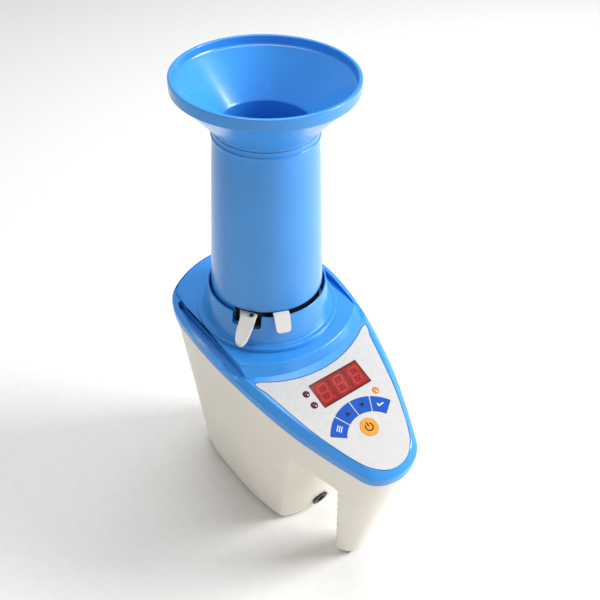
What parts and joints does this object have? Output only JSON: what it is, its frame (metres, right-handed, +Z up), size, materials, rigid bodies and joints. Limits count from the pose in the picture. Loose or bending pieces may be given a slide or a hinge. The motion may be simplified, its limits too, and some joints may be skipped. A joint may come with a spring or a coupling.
{
  "type": "grain moisture meter",
  "caption": "Benchtop grain moisture meter: blue lift-off loading tower over a measuring cell, sloping key panel with a display, cream housing on a tub and a raked leg.",
  "frame": {"origin": "middle of the bounding box at the bench surface", "axes": "+Z up along the loading tower, -Y towards the key panel and its nose, +X to the right for a user who faces the panel"},
  "size_m": [0.1192, 0.2124, 0.34],
  "materials": {
    "cover_blue": "glossy moulded",
    "body_cream": "satin moulded",
    "fitting_white": "moulded",
    "overlay_grey": "printed film",
    "key_blue": "printed film",
    "key_orange": "printed film",
    "window_red": "clear dark red",
    "lamp_red": "clear tinted",
    "lamp_amber": "clear tinted",
    "plastic_black": "moulded",
    "board_green": "lacquered board",
    "foot_rubber": "matt",
    "steel": "plated",
    "aluminium": "turned",
    "brass": "bright"
  },
  "bodies": {
    "housing": {"lower_housing": "body_cream", "base_plate": "body_cream", "top_cover": "cover_blue", "collar_ring": "cover_blue", "battery_holder": "plastic_black", "cell_cradle": "plastic_black", "dc_socket": "plastic_black", "digit_1": "plastic_black", "digit_2": "plastic_black", "digit_3": "plastic_black", "switch_1": "plastic_black", "switch_2": "plastic_black", "switch_3": "plastic_black", "switch_4": "plastic_black", "switch_5": "plastic_black", "battery_1": "steel", "battery_2": "steel", "battery_3": "steel", "battery_4": "steel", "base_screw_1": "steel", "base_screw_2": "steel", "base_screw_3": "steel", "base_screw_4": "steel", "cover_screw_1": "steel", "cover_screw_2": "steel", "cover_screw_3": "steel", "electrode_nut": "steel", "temperature_probe": "steel", "battery_contact_left": "brass", "battery_contact_right": "brass", "foot_1": "foot_rubber", "foot_2": "foot_rubber", "foot_3": "foot_rubber", "foot_4": "foot_rubber", "leg_foot": "foot_rubber", "main_board": "board_green", "display_board": "board_green", "cell_cup": "aluminium", "centre_electrode": "aluminium", "cell_insulator": "fitting_white", "panel_overlay": "overlay_grey", "display_window": "window_red", "lamp_upper": "lamp_red", "lamp_lower": "lamp_red", "lamp_amber": "lamp_amber"},
    "hopper": {"funnel": "cover_blue", "loading_tube": "cover_blue", "gate_plate": "fitting_white", "door_pin": "steel", "door_spring": "steel", "thumb_rest": "fitting_white"},
    "door": {"drop_door": "fitting_white"},
    "lever": {"release_lever": "fitting_white", "lever_screw": "steel"},
    "battery_lid": {"battery_cover": "body_cream"},
    "select_button": {"key_select": "key_blue"},
    "up_button": {"key_up": "key_blue"},
    "down_button": {"key_down": "key_blue"},
    "confirm_button": {"key_confirm": "key_blue"},
    "power_button": {"key_power": "key_orange"}
  },
  "joints": [
    {"name": "hopper_lift", "type": "slide", "parent": "housing", "child": "hopper", "axis": [0, 0, 1], "range_m": [0, 0.07]},
    {"name": "door_drop", "type": "hinge", "parent": "hopper", "child": "door", "pos_m": [0, 0.06465, 0.174], "axis": [1, 0, 0], "range_deg": [0, 75], "stiffness_Nm_per_rad": 0.002, "springref_deg": -57.3},
    {"name": "lever_swing", "type": "hinge", "parent": "hopper", "child": "lever", "pos_m": [-0.03056, 0.0125, 0.187], "axis": [0, 0, 1], "range_deg": [0, 22], "stiffness_Nm_per_rad": 0.02, "springref_deg": -5.73},
    {"name": "battery_lid_open", "type": "hinge", "parent": "housing", "child": "battery_lid", "pos_m": [0, 0.06875, 0.0012], "axis": [1, 0, 0], "range_deg": [0, 80]},
    {"name": "select_press", "type": "slide", "parent": "housing", "child": "select_button", "axis": [0, 0.2909, -0.9568], "range_m": [0, 0.0004], "stiffness_N_per_m": 300, "springref_m": -0.0005},
    {"name": "up_press", "type": "slide", "parent": "housing", "child": "up_button", "axis": [0, 0.2909, -0.9568], "range_m": [0, 0.0004], "stiffness_N_per_m": 300, "springref_m": -0.0005},
    {"name": "down_press", "type": "slide", "parent": "housing", "child": "down_button", "axis": [0, 0.2909, -0.9568], "range_m": [0, 0.0004], "stiffness_N_per_m": 300, "springref_m": -0.0005},
    {"name": "confirm_press", "type": "slide", "parent": "housing", "child": "confirm_button", "axis": [0, 0.2909, -0.9568], "range_m": [0, 0.0004], "stiffness_N_per_m": 300, "springref_m": -0.0005},
    {"name": "power_press", "type": "slide", "parent": "housing", "child": "power_button", "axis": [0, 0.2909, -0.9568], "range_m": [0, 0.0004], "stiffness_N_per_m": 300, "springref_m": -0.0005}
  ]
}
